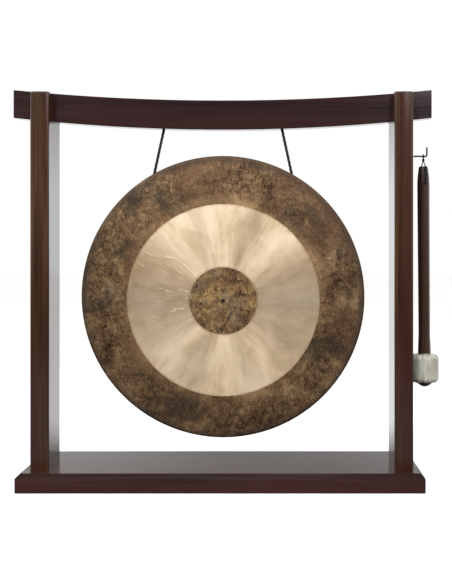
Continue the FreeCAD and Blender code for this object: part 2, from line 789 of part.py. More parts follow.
def make_loop(doc):
    """The mallet's cord loop: an eye round the hook's wire, a knot, and two strands that pass
    down the handle and meet in its cross hole."""
    thick = sizes["loop_radius"]
    height = sizes["hook_height"] - sizes["mallet_height"]
    eye_radius = sizes["wire_radius"] + thick + 0.1
    knot_z = height - eye_radius - sizes["loop_knot_half_height"]
    beside = sizes["grip_radius"] + thick + 0.3
    shoulder = sizes["end_radius"] + thick + 0.7
    over = sizes["end_height"] + thick + 0.2

    # Y and Z of the strands' route, in the mallet's turned frame.
    apart = thick + 0.1
    strand = [(apart, knot_z), (apart, over + 4.6), (shoulder, over), (beside, 0)]
    route = strand + [(-y, z) for y, z in reversed(strand)]
    points = [FreeCAD.Vector(0, y, z) for y, z in route]
    turns = [1.2, 1.6, 1.5]
    tube = rounded_tube(points, turns + turns[::-1], thick, "mallet_loop strands")
    strands = doc.addObject("Part::Feature", "loop_strands")
    strands.Shape = tube
    strands.Placement = at(0, 0, 0, UP, sizes["mallet_turn"])

    eye_place = at(0, 0, height, FreeCAD.Vector(0, 1, 0), 90)
    eye = primitive(doc, "Torus", "loop_eye", {"Radius2": "loop_radius"}, eye_place)
    eye.Radius1 = eye_radius
    radii = {
        "Radius1": "loop_knot_half_height",
        "Radius2": "loop_knot_radius",
        "Radius3": "loop_knot_radius",
    }
    knot = primitive(doc, "Ellipsoid", "loop_knot", radii, at(0, 0, knot_z))
    loop = fuse(doc, "mallet_loop", [strands, eye, knot])
    loop.Placement = at(sizes["mallet_out"], 0, sizes["mallet_height"])
    return loop


# ---------------------------------------------------------------- check and write


def check_document(doc):
    """Stops the script if any object of the document has failed."""
    doc.recompute()
    for item in doc.Objects:
        if {"Invalid", "Error"} & set(item.State):
            raise RuntimeError(f"{item.Label} failed: {item.State}")


def write_parts(pieces):
    """Checks each sub-part's shape and writes it as a STEP file named by its label."""
    os.makedirs("parts", exist_ok=True)
    for piece in pieces:
        shape = piece.Shape
        if shape.isNull() or not shape.isValid() or not shape.Solids:
            raise RuntimeError(f"{piece.Label} has no valid solid")
        box = shape.BoundBox
        print(
            f"{piece.Label:18s} {len(shape.Solids)} solid(s) {shape.Volume:11.1f} mm3"
            f"  x {box.XMin:7.1f} {box.XMax:7.1f}  y {box.YMin:6.1f} {box.YMax:6.1f}"
            f"  z {box.ZMin:6.1f} {box.ZMax:6.1f}"
        )
        shape.exportStep(f"parts/{piece.Label}.step")


def main():
    add_derived_sizes()
    doc = FreeCAD.newDocument("tam_tam_gong")
    fill_sheet(doc)
    pieces = [make_base(doc), make_beam(doc), make_post_screws(doc), make_beam_screws(doc)]
    pieces += [make_post(doc, side) for side in SIDES]
    pieces.append(make_hook(doc))
    plate = make_gong(doc)
    hang = rim_place(1, sizes["rim_hole_out"]).Base
    pieces.append(plate)
    for side in SIDES:
        pieces += [make_anchor(doc, side), make_cord(doc, side, hang), make_tail(doc, side, plate)]
    pieces += [make_handle(doc), make_core(doc), make_cover(doc), make_thread(doc), make_loop(doc)]
    check_document(doc)
    write_parts(pieces)


main()
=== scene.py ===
"""A bronze tam tam in its dark wooden stand, with its mallet on the hook beside it."""
import math

import bmesh
import bpy
from mathutils import Matrix, Vector, noise


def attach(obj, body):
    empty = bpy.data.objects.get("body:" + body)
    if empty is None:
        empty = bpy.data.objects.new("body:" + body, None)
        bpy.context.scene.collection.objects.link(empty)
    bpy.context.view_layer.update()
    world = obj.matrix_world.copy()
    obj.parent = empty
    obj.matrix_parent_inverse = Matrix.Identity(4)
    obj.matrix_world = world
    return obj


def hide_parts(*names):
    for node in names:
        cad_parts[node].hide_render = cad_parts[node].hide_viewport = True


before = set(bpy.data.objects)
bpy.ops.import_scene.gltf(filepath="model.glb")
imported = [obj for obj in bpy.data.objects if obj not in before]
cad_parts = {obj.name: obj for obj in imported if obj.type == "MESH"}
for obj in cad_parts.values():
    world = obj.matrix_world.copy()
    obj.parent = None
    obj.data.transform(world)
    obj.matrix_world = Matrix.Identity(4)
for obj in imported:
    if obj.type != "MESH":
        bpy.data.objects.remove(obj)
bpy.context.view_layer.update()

TURN = 2 * math.pi
MM = 0.001


# ---------------------------------------------------------------- camera

def add_camera():
    """A camera a little right of the middle, level with the upper part of the gong."""
    data = bpy.data.cameras.new("camera")
    data.sensor_width = 36
    data.lens = 57.76
    data.shift_x = -0.0808
    data.shift_y = -0.0719
    camera = bpy.data.objects.new("camera", data)
    camera.location = (0.073, -1.363, 0.3343)
    camera.rotation_euler = (math.radians(90), 0, 0)
    bpy.context.scene.collection.objects.link(camera)
    bpy.context.scene.camera = camera


# ---------------------------------------------------------------- node helpers

def node(tree, kind, inputs=None, **settings):
    """A new shader node. An input given as a socket is linked; any other is set."""
    made = tree.nodes.new(kind)
    for key, value in settings.items():
        setattr(made, key, value)
    for key, value in (inputs or {}).items():
        if isinstance(value, bpy.types.NodeSocket):
            tree.links.new(value, made.inputs[key])
        else:
            made.inputs[key].default_value = value
    return made


def maths(tree, operation, *values):
    """A number worked out from one, two or three others."""
    inputs = dict(enumerate(values))
    return node(tree, "ShaderNodeMath", inputs, operation=operation).outputs[0]


def smooth(tree, value, low, high):
    """0 below low, 1 above high, and a smooth step between. Low may be the larger."""
    inputs = {"Value": value, "From Min": low, "From Max": high}
    return node(tree, "ShaderNodeMapRange", inputs, interpolation_type="SMOOTHSTEP").outputs[0]


def blend_colour(tree, factor, first, second):
    """Two colours mixed by a factor."""
    inputs = {0: factor, 6: first, 7: second}
    return node(tree, "ShaderNodeMix", inputs, data_type="RGBA").outputs[2]


def stretched(tree, vector, scale, turn=(0, 0, 0)):
    """A vector turned and then scaled along each axis."""
    inputs = {"Vector": vector, "Rotation": turn, "Scale": scale}
    return node(tree, "ShaderNodeMapping", inputs).outputs[0]


def cloud(tree, vector, scale, detail=3.0, rough=0.5, warp=0.0):
    """Noise from 0 to 1."""
    inputs = {"Vector": vector, "Scale": scale, "Detail": detail, "Roughness": rough}
    inputs["Distortion"] = warp
    return node(tree, "ShaderNodeTexNoise", inputs).outputs[0]


def ramp(tree, value, stops):
    """A colour read from (position, colour) stops."""
    made = node(tree, "ShaderNodeValToRGB", {0: value})
    band = made.color_ramp
    while len(band.elements) < len(stops):
        band.elements.new(0.5)
    for element, (position, colour) in zip(band.elements, stops):
        element.position = position
        element.color = (*colour, 1)
    return made.outputs[0]


def bump(tree, height, distance, strength=1.0, before=None):
    """A normal from a height. Distance is the height of a full step, in metres."""
    inputs = {"Height": height, "Distance": distance, "Strength": strength}
    if before is not None:
        inputs["Normal"] = before
    return node(tree, "ShaderNodeBump", inputs).outputs[0]


def new_material(name, **constants):
    """A material with one Principled shader."""
    material = bpy.data.materials.new(name)
    material.use_nodes = True
    shader = material.node_tree.nodes["Principled BSDF"]
    for key, value in constants.items():
        shader.inputs[key.replace("_", " ")].default_value = value
    return material, material.node_tree, shader


def connect(tree, shader, **sockets):
    """Links sockets to the shader's inputs of those names."""
    for key, socket in sockets.items():
        tree.links.new(socket, shader.inputs[key.replace("_", " ")])


def object_place(tree):
    """The point's place in the object's own frame, in metres."""
    return node(tree, "ShaderNodeTexCoord").outputs["Object"]


# ---------------------------------------------------------------- wood

def wood(name, along, dark, middle, light, red, seed, rough, chamfer_shade=0.0):
    """Stained and lacquered wood whose grain runs along one axis, 0 to 2. The last argument is how
    much darker the chamfers of the upper edges are painted: a painted shade on the faces that
    slope up towards the lights."""
    material, tree, shader = new_material(name, IOR=1.45)
    place = object_place(tree)
    place = node(tree, "ShaderNodeVectorMath", {0: place, 1: (seed, seed, seed)}).outputs[0]

    def fibre(across, length, detail, rough, warp=0.0):
        """Noise that is drawn out along the grain."""
        scale = [across] * 3
        scale[along] = length
        return cloud(tree, stretched(tree, place, scale), 1.0, detail, rough, warp)

    figure = fibre(38, 1.8, 4, 0.55, 0.8)
    streak = fibre(190, 4.5, 4, 0.6)
    line = fibre(640, 9.0, 3, 0.6)
    pore = smooth(tree, fibre(1500, 42.0, 2, 0.5), 0.60, 0.70)
    tone = maths(tree, "MULTIPLY_ADD", streak, 0.36, maths(tree, "MULTIPLY", figure, 0.46))
    tone = maths(tree, "MULTIPLY_ADD", line, 0.18, tone)
    colour = ramp(tree, tone, [(0.38, dark), (0.50, middle), (0.62, light)])
    tint = smooth(tree, fibre(58, 1.6, 2, 0.5), 0.42, 0.58)
    colour = blend_colour(tree, maths(tree, "MULTIPLY", tint, 0.65), colour, (*red, 1))
    colour = blend_colour(tree, maths(tree, "MULTIPLY", pore, 0.7), colour, (*dark, 1))
    facing = node(tree, "ShaderNodeTexCoord").outputs["Normal"]
    rise = node(tree, "ShaderNodeSeparateXYZ", {0: facing}).outputs["Z"]
    # Painted shade: faces that tilt up at about 45 degrees, the chamfers, are darkened by which way they
    # face.
    chamfer_shade_mask = maths(tree, "MULTIPLY", smooth(tree, rise, 0.35, 0.6), smooth(tree, rise, 0.95, 0.8))
    colour = blend_colour(tree, maths(tree, "MULTIPLY", chamfer_shade_mask, chamfer_shade), colour, (*dark, 1))
    gloss = maths(tree, "MULTIPLY_ADD", streak, 0.24, rough - 0.06)
    relief = maths(tree, "MULTIPLY_ADD", pore, -1.0, maths(tree, "MULTIPLY", line, 0.5))
    normal = bump(tree, relief, 0.00002, 0.4)
    connect(tree, shader, Base_Color=colour, Roughness=gloss, Normal=normal)
    return material


def worn_metal(name, dark, light, scale):
    """Plated steel with dull spots, as on a bent wire hook or a screw."""
    material, tree, shader = new_material(name, Metallic=1.0)
    place = object_place(tree)
    spots = cloud(tree, place, scale, 4, 0.6)
    scratch = cloud(tree, stretched(tree, place, (600, 3000, 3000)), 1.0, 2)
    colour = ramp(tree, spots, [(0.38, dark), (0.62, light)])
    rough = maths(tree, "MULTIPLY_ADD", spots, 0.5, 0.12)
    normal = bump(tree, scratch, 0.00003, 0.5)
    connect(tree, shader, Base_Color=colour, Roughness=rough, Normal=normal)
    return material


def felt():
    """Pressed wool: a matted, slightly lumpy surface."""
    material, tree, shader = new_material("wool_felt", Roughness=0.95, Sheen_Weight=0.3)
    place = object_place(tree)
    mat = cloud(tree, place, 900, 5, 0.7, 1.5)
    colour = ramp(tree, mat, [(0.35, (0.34, 0.32, 0.27)), (0.65, (0.52, 0.50, 0.44))])
    connect(tree, shader, Base_Color=colour, Normal=bump(tree, mat, 0.0004, 0.8))
    return material


# ---------------------------------------------------------------- gong

GONG_LEAN = math.radians(3.634)
GONG_PLACE = Matrix.Translation((0, -0.0026848, 0.2641833)) @ Matrix.Rotation(GONG_LEAN, 4, "X")
GONG_RADIUS = 206 * MM
SHEET = 2 * MM
DOME = 3 * MM
RIM_BEND = 5 * MM
RIM_DEPTH = 28 * MM
RIM_TAPER = 1.5 * MM
RIM_EDGE_ROUND = 0.6 * MM
RIM_HOLE_ANGLE = math.radians(29.4)
RIM_HOLE_DEPTH = 14 * MM
RIM_HOLE_RADIUS = 4 * MM
RIM_HOLE_OUT = 204.413 * MM
FACE_RADIUS = GONG_RADIUS - RIM_BEND
DOME_RADIUS = (FACE_RADIUS**2 + DOME**2) / (2 * DOME)

# The turned finish: its centre lies a little off the rim's, and it has a bright ring.
FINISH_CENTRE = Vector((0.6 * MM, -3.5 * MM))
CENTRE_DISC = 49 * MM
BRIGHT_RING = 140 * MM
EDGE_SLACK = 0.1 * MM
SPOKES = 360
# Rows of the rim's profile that lie outside it, with the front's finish.
RIM_OUTER_ROWS = 14
BRIGHT, PATINA, BACK, DISC = range(4)


def dome_depth(radius):
    """How far back the front of the face lies at a radius."""
    return DOME_RADIUS - math.sqrt(DOME_RADIUS**2 - radius**2) - DOME


def face_rings():
    """Radii of the face's rings, with one on each edge of the bright ring."""
    spans = [(1 * MM, CENTRE_DISC, 22), (CENTRE_DISC, BRIGHT_RING, 40), (BRIGHT_RING, FACE_RADIUS, 30)]
    radii = []
    for start, end, count in spans:
        radii += [start + (end - start) * n / count for n in range(count)]
    return radii + [FACE_RADIUS]


def rim_profile():
    """Radius and depth from the front bend round the rim's edge to the back bend."""
    points = []
    for n in range(1, 7):
        turn = math.radians(15 * n)
        points.append((FACE_RADIUS + RIM_BEND * math.sin(turn), RIM_BEND * (1 - math.cos(turn))))
    outer, inner = GONG_RADIUS, GONG_RADIUS - SHEET
    flange = RIM_DEPTH - RIM_BEND - RIM_EDGE_ROUND
    rows = 8
    for n in range(1, rows):
        share = n / rows
        depth = RIM_BEND + flange * share
        points.append((outer - RIM_TAPER * share, depth))
    edge = outer - RIM_TAPER - SHEET / 2
    for n in range(7):
        turn = math.radians(30 * n)
        depth = RIM_DEPTH - RIM_EDGE_ROUND * (1 - math.sin(turn))
        points.append((edge + SHEET / 2 * math.cos(turn), depth))
    for n in range(rows - 1, -1, -1):
        share = n / rows
        depth = RIM_BEND + flange * share
        points.append((inner - RIM_TAPER * share, depth))
    bend = RIM_BEND - SHEET
    for n in range(5, 0, -1):
        turn = math.radians(15 * n)
        points.append((FACE_RADIUS + bend * math.sin(turn), RIM_BEND - bend * math.cos(turn)))
    return points


def wavy(angle, seed, rate):
    """A smooth number from -1 to 1 that comes back to itself after a full turn."""
    return noise.noise((rate * math.cos(angle), rate * math.sin(angle), seed))


def face_point(ring, angle, back):
    """A point of the face in the gong's own frame: the ring's centre moves from the finish's
    centre to the rim's, and hammering makes the surface uneven."""
    drift = min(max((FACE_RADIUS - ring) / (FACE_RADIUS - BRIGHT_RING), 0), 1)
    for edge in (CENTRE_DISC, BRIGHT_RING):
        near = math.exp(-((ring - edge) / (3 * MM)) ** 2)
        ring += near * 0.35 * MM * (wavy(angle, edge, 9) + 0.6 * wavy(angle, edge, 40))
    x = FINISH_CENTRE.x * drift + ring * math.sin(angle)
    z = FINISH_CENTRE.y * drift + ring * math.cos(angle)
    bright = CENTRE_DISC < ring < BRIGHT_RING and not back
    edge_fade = min(max((FACE_RADIUS - ring) / (12 * MM), 0), 1)
    deep = (0.02 if bright else 0.13) * MM * edge_fade
    spot = Vector((x, 0.03 * back, z))
    dent = noise.noise(spot * 75) + 0.6 * noise.noise(spot * 170)
    return Vector((x, dome_depth(math.hypot(x, z)) + SHEET * back + deep * dent, z))


def strip_finish(row, place, front_rows):
    """The finish of the strip of faces that starts at a row, whose radius on the face is place."""
    if row >= front_rows + RIM_OUTER_ROWS:
        return BACK
    on_face = row < front_rows - 1
    if on_face and place < CENTRE_DISC - EDGE_SLACK:
        return DISC
    if on_face and place < BRIGHT_RING - EDGE_SLACK:
        return BRIGHT
    return PATINA


def gong_mesh():
    """The whole gong as one closed sheet. Its lathe map holds each corner's radius and turn."""
    rings = face_rings()
    rows = [[face_point(r, TURN * n / SPOKES, 0) for n in range(SPOKES)] for r in rings]
    places = list(rings)
    for radius, depth in rim_profile():
        row = [TURN * n / SPOKES for n in range(SPOKES)]
        rows.append([Vector((radius * math.sin(a), depth, radius * math.cos(a))) for a in row])
        places.append(FACE_RADIUS + depth)
    back = rings[::-1]
    rows += [[face_point(r, TURN * n / SPOKES, 1) for n in range(SPOKES)] for r in back]
    places += back

    shape = bmesh.new()
    lathe = shape.loops.layers.uv.new("lathe")
    grid = [[shape.verts.new(GONG_PLACE @ point) for point in row] for row in rows]
    middle_front = shape.verts.new(GONG_PLACE @ Vector((FINISH_CENTRE.x, -DOME, FINISH_CENTRE.y)))
    middle_back = shape.verts.new(
        GONG_PLACE @ Vector((FINISH_CENTRE.x, SHEET - DOME, FINISH_CENTRE.y))
    )
    for i in range(len(grid) - 1):
        kind = strip_finish(i, places[i], len(rings))
        for n in range(SPOKES):
            after = (n + 1) % SPOKES
            corners = (grid[i][n], grid[i + 1][n], grid[i + 1][after], grid[i][after])
            face = shape.faces.new(corners)
            face.smooth = True
            face.material_index = kind
            turns = (n, n, n + 1, n + 1)
            radii = (places[i], places[i + 1], places[i + 1], places[i])
            for loop, radius, turn in zip(face.loops, radii, turns):
                loop[lathe].uv = (radius, turn / SPOKES)
    for middle, row, kind in ((middle_front, grid[0], DISC), (middle_back, grid[-1][::-1], BACK)):
        for n in range(SPOKES):
            face = shape.faces.new((middle, row[n], row[(n + 1) % SPOKES]))
            face.smooth = True
            face.material_index = kind
    bmesh.ops.recalc_face_normals(shape, faces=shape.faces)
    mesh = bpy.data.meshes.new("gong")
    shape.to_mesh(mesh)
    shape.free()
    return mesh


def lathe_parts(tree):
    """Radius about the finish's centre, and a direction that doesn't jump where a turn ends."""
    lathe = node(tree, "ShaderNodeUVMap", uv_map="lathe").outputs[0]
    parts = node(tree, "ShaderNodeSeparateXYZ", {0: lathe})
    turn = maths(tree, "MULTIPLY", parts.outputs["Y"], TURN)
    return parts.outputs["X"], maths(tree, "SINE", turn), maths(tree, "COSINE", turn)


def combine(tree, x, y, z):
    """A vector from three numbers."""
    return node(tree, "ShaderNodeCombineXYZ", {0: x, 1: y, 2: z}).outputs[0]


def bright_bronze():
    """Polished bronze with fine lathe lines and shallow hammer dents drawn out along the radius."""
    material, tree, shader = new_material(
        "bronze_bright", Metallic=0.80, Anisotropic=1.0, IOR=1.5
    )
    radius, across, up = lathe_parts(tree)
    place = object_place(tree)

    def polar(around, outward, detail, rough, warp=0.0):
        """Noise that varies around the turn and along the radius at rates of their own."""
        around_x = maths(tree, "MULTIPLY", across, around)
        around_z = maths(tree, "MULTIPLY", up, around)
        along = maths(tree, "MULTIPLY", radius, outward)
        return cloud(tree, combine(tree, around_x, around_z, along), 1.0, detail, rough, warp)

    haze = cloud(tree, place, 20, 4, 0.55, 0.4)
    wipe = polar(5, 14, 4, 0.6)
    tone = maths(tree, "MULTIPLY_ADD", haze, 0.5, maths(tree, "MULTIPLY", wipe, 0.5))
    colour = ramp(tree, tone, [
        (0.40, (0.70, 0.495, 0.29)), (0.50, (0.85, 0.620, 0.385)), (0.60, (0.94, 0.71, 0.46))
    ])
    edge = smooth(tree, maths(tree, "MULTIPLY_ADD", polar(14, 40, 3, 0.6), 0.006, radius), 0.139, 0.144)
    inner = smooth(tree, maths(tree, "MULTIPLY_ADD", haze, -0.006, radius), 0.050, 0.046)
    stain = maths(tree, "MULTIPLY", maths(tree, "MAXIMUM", edge, inner), 0.45)
    colour = blend_colour(tree, stain, colour, (0.42, 0.24, 0.11, 1))
    spoke = polar(5, 7, 3, 0.6)
    dent = smooth(tree, polar(26, 60, 2, 0.5, 0.6), 0.54, 0.74)
    west = smooth(tree, maths(tree, "MULTIPLY_ADD", up, -0.25, across), -0.45, -0.85)
    low = maths(tree, "MULTIPLY", smooth(tree, cloud(tree, place, 17, 2), 0.54, 0.62), 0.5)
    dent = maths(tree, "MULTIPLY", dent, maths(tree, "MAXIMUM", west, low))
    turned = smooth(tree, polar(0.6, 170, 2, 0.5), 0.35, 0.65)
    rough = maths(tree, "MULTIPLY_ADD", wipe, 0.10, 0.25)
    normal = bump(tree, spoke, 0.0011, 0.5)
    normal = bump(tree, turned, 0.00002, 0.5, normal)
    normal = bump(tree, dent, 0.00032, 0.5, normal)
    tangent = node(tree, "ShaderNodeTangent", direction_type="UV_MAP", uv_map="lathe").outputs[0]
    connect(tree, shader, Base_Color=colour, Roughness=rough, Normal=normal, Tangent=tangent)
    return material


def patina_tone(tree, place):
    """Broad clouds, small mottles, fine grain and a slanting hatch of hammer marks."""
    broad = cloud(tree, place, 22, 5, 0.6, 0.6)
    small = cloud(tree, place, 140, 4, 0.6, 0.4)
    fine = cloud(tree, place, 600, 4, 0.7)
    hatch = cloud(tree, stretched(tree, place, (700, 700, 150), (0, 0.7, 0)), 1.0, 2)
    tone = maths(tree, "MULTIPLY_ADD", small, 0.23, maths(tree, "MULTIPLY", broad, 0.33))
    tone = maths(tree, "MULTIPLY_ADD", fine, 0.30, tone)
    return maths(tree, "MULTIPLY_ADD", hatch, 0.14, tone), small, fine


def patina_bronze(name, front):
    """Fired and hammered bronze: mottled browns with ochre beside the bright ring, bright specks that are
    painted glints, and on the front a painted shade round the rim's bend.
    """
    material, tree, shader = new_material(name, Metallic=0.85, Anisotropic=0.3, IOR=1.5)
    place = object_place(tree)
    tone, small, fine = patina_tone(tree, place)
    colour = ramp(tree, tone, [
        (0.40, (0.030, 0.016, 0.010)), (0.46, (0.095, 0.050, 0.024)),
        (0.51, (0.195, 0.112, 0.052)), (0.56, (0.300, 0.185, 0.090)), (0.64, (0.530, 0.350, 0.180)),
    ])
    shadow = smooth(tree, cloud(tree, place, 15, 4, 0.6, 0.9), 0.50, 0.62)
    colour = blend_colour(tree, maths(tree, "MULTIPLY", shadow, 0.7), colour, (0.048, 0.036, 0.024, 1))
    warm = smooth(tree, cloud(tree, stretched(tree, place, (11, 11, 11), (0, 0, 1.3)), 1.0, 3), 0.5, 0.6)
    colour = blend_colour(tree, maths(tree, "MULTIPLY", warm, 0.5), colour, (0.150, 0.074, 0.038, 1))
    # Painted glints: bright specks of colour that stand in for small highlights on the hammered metal.
    speck_and_glint = smooth(tree, fine, 0.62, 0.70)
    pit = smooth(tree, cloud(tree, place, 330, 3, 0.6), 0.34, 0.28)
    if front:
        radius = lathe_parts(tree)[0]
        ragged = maths(tree, "MULTIPLY_ADD", small, 0.030, maths(tree, "MULTIPLY_ADD", fine, 0.012, radius))
        uneven = smooth(tree, cloud(tree, place, 8, 2), 0.36, 0.56)
        halo = maths(tree, "MULTIPLY", smooth(tree, ragged, 0.182, 0.160), uneven)
        ochre = ramp(tree, tone, [(0.42, (0.15, 0.075, 0.03)), (0.58, (0.52, 0.32, 0.15))])
        colour = blend_colour(tree, maths(tree, "MULTIPLY", halo, 0.7), colour, ochre)
        # Painted shade: the outer face and the rim's bend are darkened to dull the lights' highlight on the
        # bend; the same zone is also made rougher.
        rim_shade = smooth(tree, radius, 0.190, 0.204)
        colour = blend_colour(tree, maths(tree, "MULTIPLY", rim_shade, 0.65), colour, (0.07, 0.046, 0.032, 1))
    colour = blend_colour(tree, maths(tree, "MULTIPLY", speck_and_glint, 0.55), colour, (0.62, 0.44, 0.24, 1))
    colour = blend_colour(tree, maths(tree, "MULTIPLY", pit, 0.8), colour, (0.022, 0.014, 0.012, 1))
    rough = maths(tree, "MULTIPLY_ADD", small, 0.3, 0.40)
    if front:
        rough = maths(tree, "MULTIPLY_ADD", rim_shade, 0.3, rough)
    normal = bump(tree, small, 0.0012, 0.35)
    normal = bump(tree, fine, 0.0003, 0.5, normal)
    connect(tree, shader, Base_Color=colour, Roughness=rough, Normal=normal)
    return material


def disc_bronze():
    """The centre of the face: ochre and rust with black specks and blue grey blotches."""
    material, tree, shader = new_material("bronze_disc", Metallic=0.7, Anisotropic=0.2, IOR=1.5)
    place = object_place(tree)
    tone, small, fine = patina_tone(tree, place)
    radius = lathe_parts(tree)[0]
    colour = ramp(tree, tone, [
        (0.41, (0.065, 0.030, 0.013)), (0.47, (0.190, 0.094, 0.036)),
        (0.53, (0.330, 0.195, 0.075)), (0.60, (0.560, 0.380, 0.160)),
    ])
    bloom = smooth(tree, cloud(tree, place, 34, 5, 0.65, 0.8), 0.50, 0.58)
    colour = blend_colour(tree, maths(tree, "MULTIPLY", bloom, 0.35), colour, (0.19, 0.16, 0.12, 1))
    smudge = smooth(tree, cloud(tree, place, 42, 5, 0.65, 1.2), 0.49, 0.58)
    colour = blend_colour(tree, maths(tree, "MULTIPLY", smudge, 0.5), colour, (0.090, 0.050, 0.028, 1))
    # Dark specks in the metal itself.
    speck_and_glint = smooth(tree, cloud(tree, place, 150, 5, 0.7, 0.6), 0.44, 0.36)
    colour = blend_colour(tree, maths(tree, "MULTIPLY", speck_and_glint, 0.8), colour, (0.018, 0.015, 0.017, 1))
    glint = smooth(tree, fine, 0.61, 0.68)
    colour = blend_colour(tree, maths(tree, "MULTIPLY", glint, 0.6), colour, (0.80, 0.60, 0.30, 1))
    pin = smooth(tree, maths(tree, "MULTIPLY_ADD", small, 0.004, radius), 0.0062, 0.0042)
    colour = blend_colour(tree, pin, colour, (0.015, 0.012, 0.012, 1))
    rough = maths(tree, "MULTIPLY_ADD", small, 0.3, 0.38)
    normal = bump(tree, small, 0.0010, 0.4)
    normal = bump(tree, fine, 0.0003, 0.6, normal)
    connect(tree, shader, Base_Color=colour, Roughness=rough, Normal=normal)
    return material


def cut_rim_holes(gong):
    """Cuts the two holes that the cords pass through, square to the flange."""
    for way in (-1, 1):
        cutter = bmesh.new()
        bmesh.ops.create_cone(
            cutter, cap_ends=True, segments=32, radius1=RIM_HOLE_RADIUS, radius2=RIM_HOLE_RADIUS,
            depth=6 * SHEET
        )
        turn = Matrix.Rotation(way * RIM_HOLE_ANGLE, 4, "Y")
        out = Matrix.Translation((0, RIM_HOLE_DEPTH, RIM_HOLE_OUT))
        cutter.transform(GONG_PLACE @ turn @ out)
        for face in cutter.faces:
            face.material_index = BACK
        mesh = bpy.data.meshes.new("cutter")
        cutter.to_mesh(mesh)
        cutter.free()
        tool = bpy.data.objects.new("cutter", mesh)
        bpy.context.scene.collection.objects.link(tool)
        hole = gong.modifiers.new("hole", "BOOLEAN")
        hole.object = tool
        hole.solver = "EXACT"
        graph = bpy.context.evaluated_depsgraph_get()
        cut = bpy.data.meshes.new_from_object(gong.evaluated_get(graph))
        gong.modifiers.remove(hole)
        gong.data = cut
        bpy.data.objects.remove(tool)


def add_gong():
    """The gong replaces its plain CAD sheet, with the same outline and rim holes."""
    gong = bpy.data.objects.new("gong", gong_mesh())
    bpy.context.scene.collection.objects.link(gong)
    finishes = {
        BRIGHT: bright_bronze(),
        PATINA: patina_bronze("bronze_patina", True),
        BACK: patina_bronze("bronze_back", False),
        DISC: disc_bronze(),
    }
    for index in sorted(finishes):
        gong.data.materials.append(finishes[index])
    cut_rim_holes(gong)
    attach(gong, "gong")
    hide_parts("gong_plate")


# ---------------------------------------------------------------- cords

CORD_RADIUS = 2.2 * MM
CORD_SPREAD = 85.9 * MM
CORD_TOP = 509.474 * MM
ANCHOR_KNOT = 544.7 * MM
RIM_HOLE_HEIGHT = 442.8 * MM
TAIL_LENGTH = 14 * MM
KNOT_RADIUS = 2.6 * MM
KNOT_TALL = 1.7 * MM

def spline_points(route):
    """The points of a smooth NURBS spline whose control points are a cord's route."""
    curve = bpy.data.curves.new("route", "CURVE")
    curve.dimensions = "3D"
    spline = curve.splines.new("NURBS")
    spline.points.add(len(route) - 1)
    for point, place in zip(spline.points, route):
        point.co = (*place, 1)
    spline.order_u = 3
    spline.use_endpoint_u = True
    spline.resolution_u = 24
    holder = bpy.data.objects.new("route", curve)
    line = bpy.data.meshes.new_from_object(holder)
    points = [vert.co.copy() for vert in line.vertices]
    bpy.data.objects.remove(holder)
    bpy.data.curves.remove(curve)
    bpy.data.meshes.remove(line)
    return points


def walk(path, step):
    """Points along a cord's spline that are a step apart."""
    spans = [(b - a).length for a, b in zip(path, path[1:])]
    count = max(2, round(sum(spans) / step))
    points, done, at = [path[0]], 0.0, 0
    for n in range(1, count):
        goal = sum(spans) * n / count
        while at < len(spans) - 1 and done + spans[at] < goal:
            done += spans[at]
            at += 1
        points.append(path[at].lerp(path[at + 1], (goal - done) / max(spans[at], 1e-9)))
    return points + [path[-1]]


def frames(path):
    """At each point of a path, two directions square to it that don't spin."""
    aims = [(b - a).normalized() for a, b in zip(path, path[1:])]
    aims = [aims[0]] + [(a + b).normalized() for a, b in zip(aims, aims[1:])] + [aims[-1]]
    side = aims[0].orthogonal().normalized()
    found = []
    for aim in aims:
        side = (side - aim * side.dot(aim)).normalized()
        found.append((side, aim.cross(side)))
    return found


def add_tube(shape, path, radius, sides=8, sizes=None):
    """Adds a round tube with closed ends. Its ends narrow over the last two points, and sizes
    makes it thicker or thinner at each point."""
    rows = []
    for n, (point, (one, two)) in enumerate(zip(path, frames(path))):
        end = min(n, len(path) - 1 - n)
        size = radius * (0.35, 0.8, 1.0)[min(end, 2)] * (sizes[n] if sizes else 1.0)
        turns = [TURN * k / sides for k in range(sides)]
        ring = [point + size * (math.cos(a) * one + math.sin(a) * two) for a in turns]
        rows.append([shape.verts.new(spot) for spot in ring])
    for low, high in zip(rows, rows[1:]):
        for k in range(sides):
            after = (k + 1) % sides
            shape.faces.new((low[k], low[after], high[after], high[k])).smooth = True
    shape.faces.new(rows[0][::-1])
    shape.faces.new(rows[-1])


def add_cord(shape, path, radius, strands=3, lay=5.0, full=None):
    """Adds a laid cord: strands that wind round the path, one turn in lay diameters. Full gives
    how much thicker the cord is at a share of its length, where it is pressed flat and spreads."""
    pitch = 2 * radius * lay
    points = walk(spline_points(path), pitch / 14)
    turned = frames(points)
    share = 1 / (1 + 1 / math.sin(math.pi / strands))
    thick = radius * share * 1.25
    gone = 0.0
    lines = [[] for _ in range(strands)]
    sizes = []
    for n, (point, (one, two)) in enumerate(zip(points, turned)):
        gone += (point - points[n - 1]).length if n else 0
        sizes.append(full(n / len(points)) if full else 1.0)
        reach = (radius - thick) * sizes[-1]
        for k, line in enumerate(lines):
            turn = TURN * (gone / pitch + k / strands)
            line.append(point + reach * (math.cos(turn) * one + math.sin(turn) * two))
    for line in lines:
        add_tube(shape, line, thick, sizes=sizes)


def knot_path(middle, up, radius, tall):
    """A small overhand knot, as a closed three-lobed path round an axis."""
    one = up.orthogonal().normalized()
    two = up.cross(one)
    path = []
    for n in range(61):
        t = TURN * n / 60
        x = (math.sin(t) + 2 * math.sin(2 * t)) / 3
        y = (math.cos(t) - 2 * math.cos(2 * t)) / 3
        path.append(middle + radius * (x * one + y * two) - tall * math.sin(3 * t) * up)
    return path


